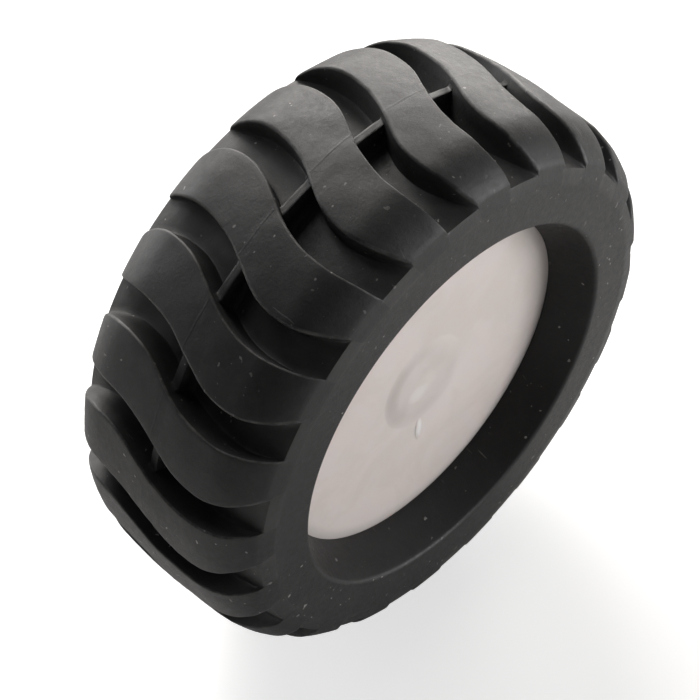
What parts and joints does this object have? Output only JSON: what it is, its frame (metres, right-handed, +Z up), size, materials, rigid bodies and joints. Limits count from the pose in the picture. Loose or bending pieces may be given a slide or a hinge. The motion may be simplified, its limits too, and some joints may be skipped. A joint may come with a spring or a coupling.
{
  "type": "robot car wheel",
  "caption": "Small robot car wheel: black lugged rubber tyre on a milky white plastic hub with a closed face, a ribbed back and a blind D-shaped bore for a geared motor's shaft.",
  "frame": {"origin": "the wheel's centre, on its axis and midway between the tyre's sidewalls", "axes": "+Y along the wheel's axis, out of the shaft bore towards the motor; +Z up, with the wheel standing on its tread; the closed face looks along -Y"},
  "size_m": [0.043, 0.017, 0.043],
  "materials": {
    "tyre_rubber": "satin black moulded rubber",
    "hub_plastic": "milky, slightly translucent white plastic"
  },
  "bodies": {
    "root": {"tyre": "tyre_rubber", "hub": "hub_plastic"}
  },
  "joints": []
}
